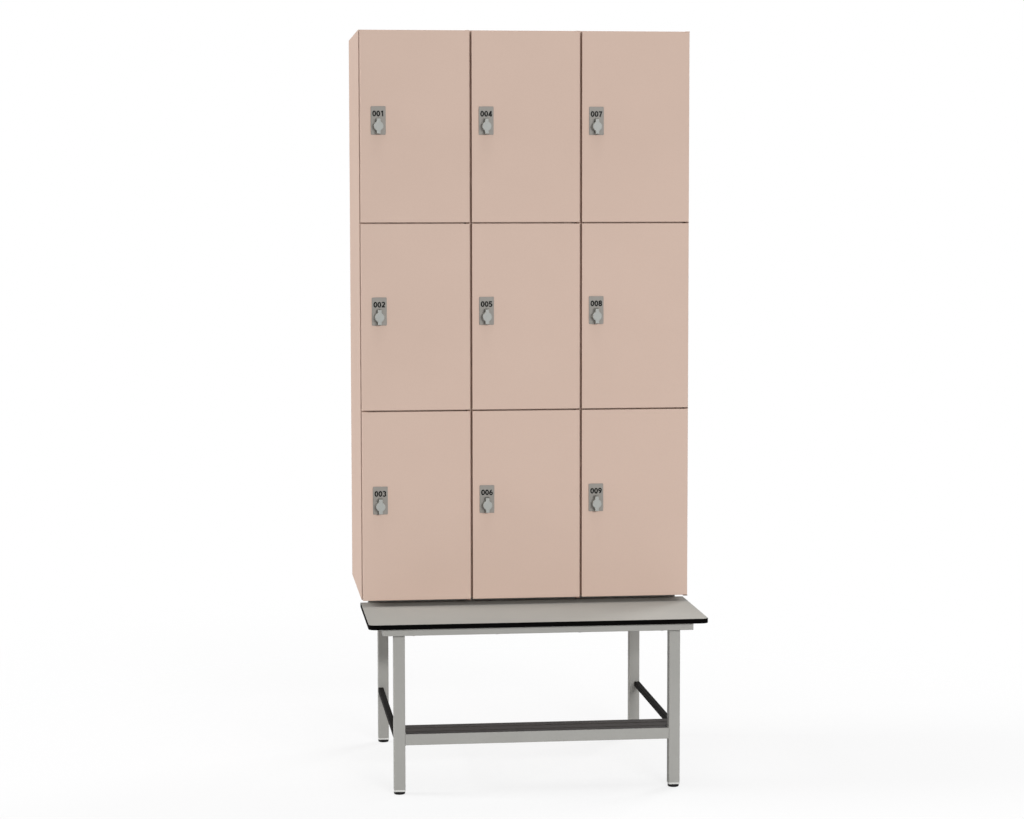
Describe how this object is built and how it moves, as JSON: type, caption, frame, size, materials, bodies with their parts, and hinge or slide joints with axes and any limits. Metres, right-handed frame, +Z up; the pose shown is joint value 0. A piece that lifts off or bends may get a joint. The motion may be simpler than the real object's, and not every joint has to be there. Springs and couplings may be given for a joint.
{
  "type": "locker bench unit",
  "caption": "Block of hinged, numbered lockers with turn-knob cam locks, standing on a steel bench frame with a laminate seat and shoe rest.",
  "frame": {"origin": "bottom centre of the bounding box, on the floor", "axes": "+Z up, doors and seat face -Y, +X to the right as seen from the front"},
  "size_m": [0.9, 0.8, 2.02],
  "materials": {
    "pink_board": "matt dusty-pink melamine-faced board",
    "plain_steel": "zinc-plated",
    "brown_steel": "matt brown lacquer",
    "grey_steel_tube": "satin grey powder coat",
    "dark_steel_tube": "satin dark grey powder coat",
    "grey_cap": "moulded grey",
    "compact_laminate": "matt grey faces, black core",
    "pale_insert": "moulded pale grey",
    "black_glide": "moulded black",
    "lock_plate_grey": "moulded mid grey",
    "knob_grey": "satin light grey"
  },
  "bodies": {
    "bench_and_carcass": {"left_side_panel": "pink_board", "right_side_panel": "pink_board", "partition_panels": "pink_board", "top_panel": "pink_board", "bottom_panel": "pink_board", "back_panel": "pink_board", "shelf_panels": "pink_board", "hinge_brackets": "brown_steel", "hinge_pins": "brown_steel", "lock_strikers": "plain_steel", "seat_board": "compact_laminate", "front_seat_rail": "grey_steel_tube", "rear_seat_rail": "grey_steel_tube", "side_seat_rails": "grey_steel_tube", "locker_support_rails": "grey_steel_tube", "front_legs": "grey_steel_tube", "rear_legs": "grey_steel_tube", "lower_front_rail": "grey_steel_tube", "lower_side_rails": "dark_steel_tube", "shoe_slats": "dark_steel_tube", "tube_end_caps": "grey_cap", "foot_collars": "pale_insert", "foot_glides": "black_glide"},
    "door_1": {"door_1": "pink_board", "lock_plate_1": "lock_plate_grey"},
    "knob_1": {"turn_knob_1": "knob_grey", "lock_cam_1": "plain_steel"},
    "door_2": {"door_2": "pink_board", "lock_plate_2": "lock_plate_grey"},
    "knob_2": {"turn_knob_2": "knob_grey", "lock_cam_2": "plain_steel"},
    "door_3": {"door_3": "pink_board", "lock_plate_3": "lock_plate_grey"},
    "knob_3": {"turn_knob_3": "knob_grey", "lock_cam_3": "plain_steel"},
    "door_4": {"door_4": "pink_board", "lock_plate_4": "lock_plate_grey"},
    "knob_4": {"turn_knob_4": "knob_grey", "lock_cam_4": "plain_steel"},
    "door_5": {"door_5": "pink_board", "lock_plate_5": "lock_plate_grey"},
    "knob_5": {"turn_knob_5": "knob_grey", "lock_cam_5": "plain_steel"},
    "door_6": {"door_6": "pink_board", "lock_plate_6": "lock_plate_grey"},
    "knob_6": {"turn_knob_6": "knob_grey", "lock_cam_6": "plain_steel"},
    "door_7": {"door_7": "pink_board", "lock_plate_7": "lock_plate_grey"},
    "knob_7": {"turn_knob_7": "knob_grey", "lock_cam_7": "plain_steel"},
    "door_8": {"door_8": "pink_board", "lock_plate_8": "lock_plate_grey"},
    "knob_8": {"turn_knob_8": "knob_grey", "lock_cam_8": "plain_steel"},
    "door_9": {"door_9": "pink_board", "lock_plate_9": "lock_plate_grey"},
    "knob_9": {"turn_knob_9": "knob_grey", "lock_cam_9": "plain_steel"}
  },
  "joints": [
    {"name": "door_1_hinge", "type": "hinge", "parent": "bench_and_carcass", "child": "door_1", "pos_m": [-0.159, -0.094, 1.76108], "axis": [0, 0, 1], "range_deg": [0, 110]},
    {"name": "knob_1_turn", "type": "hinge", "parent": "door_1", "child": "knob_1", "pos_m": [-0.3985, -0.1, 1.76247], "axis": [0, 1, 0], "range_deg": [0, 90]},
    {"name": "door_2_hinge", "type": "hinge", "parent": "bench_and_carcass", "child": "door_2", "pos_m": [-0.159, -0.094, 1.2495], "axis": [0, 0, 1], "range_deg": [0, 110]},
    {"name": "knob_2_turn", "type": "hinge", "parent": "door_2", "child": "knob_2", "pos_m": [-0.3985, -0.1, 1.25061], "axis": [0, 1, 0], "range_deg": [0, 90]},
    {"name": "door_3_hinge", "type": "hinge", "parent": "bench_and_carcass", "child": "door_3", "pos_m": [-0.159, -0.094, 0.73642], "axis": [0, 0, 1], "range_deg": [0, 110]},
    {"name": "knob_3_turn", "type": "hinge", "parent": "door_3", "child": "knob_3", "pos_m": [-0.3985, -0.1, 0.73791], "axis": [0, 1, 0], "range_deg": [0, 90]},
    {"name": "door_4_hinge", "type": "hinge", "parent": "bench_and_carcass", "child": "door_4", "pos_m": [0.141, -0.094, 1.76108], "axis": [0, 0, 1], "range_deg": [0, 110]},
    {"name": "knob_4_turn", "type": "hinge", "parent": "door_4", "child": "knob_4", "pos_m": [-0.108, -0.1, 1.76247], "axis": [0, 1, 0], "range_deg": [0, 90]},
    {"name": "door_5_hinge", "type": "hinge", "parent": "bench_and_carcass", "child": "door_5", "pos_m": [0.141, -0.094, 1.2495], "axis": [0, 0, 1], "range_deg": [0, 110]},
    {"name": "knob_5_turn", "type": "hinge", "parent": "door_5", "child": "knob_5", "pos_m": [-0.108, -0.1, 1.25061], "axis": [0, 1, 0], "range_deg": [0, 90]},
    {"name": "door_6_hinge", "type": "hinge", "parent": "bench_and_carcass", "child": "door_6", "pos_m": [0.141, -0.094, 0.73642], "axis": [0, 0, 1], "range_deg": [0, 110]},
    {"name": "knob_6_turn", "type": "hinge", "parent": "door_6", "child": "knob_6", "pos_m": [-0.108, -0.1, 0.73791], "axis": [0, 1, 0], "range_deg": [0, 90]},
    {"name": "door_7_hinge", "type": "hinge", "parent": "bench_and_carcass", "child": "door_7", "pos_m": [0.441, -0.094, 1.76108], "axis": [0, 0, 1], "range_deg": [0, 110]},
    {"name": "knob_7_turn", "type": "hinge", "parent": "door_7", "child": "knob_7", "pos_m": [0.192, -0.1, 1.76247], "axis": [0, 1, 0], "range_deg": [0, 90]},
    {"name": "door_8_hinge", "type": "hinge", "parent": "bench_and_carcass", "child": "door_8", "pos_m": [0.441, -0.094, 1.2495], "axis": [0, 0, 1], "range_deg": [0, 110]},
    {"name": "knob_8_turn", "type": "hinge", "parent": "door_8", "child": "knob_8", "pos_m": [0.192, -0.1, 1.25061], "axis": [0, 1, 0], "range_deg": [0, 90]},
    {"name": "door_9_hinge", "type": "hinge", "parent": "bench_and_carcass", "child": "door_9", "pos_m": [0.441, -0.094, 0.73642], "axis": [0, 0, 1], "range_deg": [0, 110]},
    {"name": "knob_9_turn", "type": "hinge", "parent": "door_9", "child": "knob_9", "pos_m": [0.192, -0.1, 0.73791], "axis": [0, 1, 0], "range_deg": [0, 90]}
  ]
}
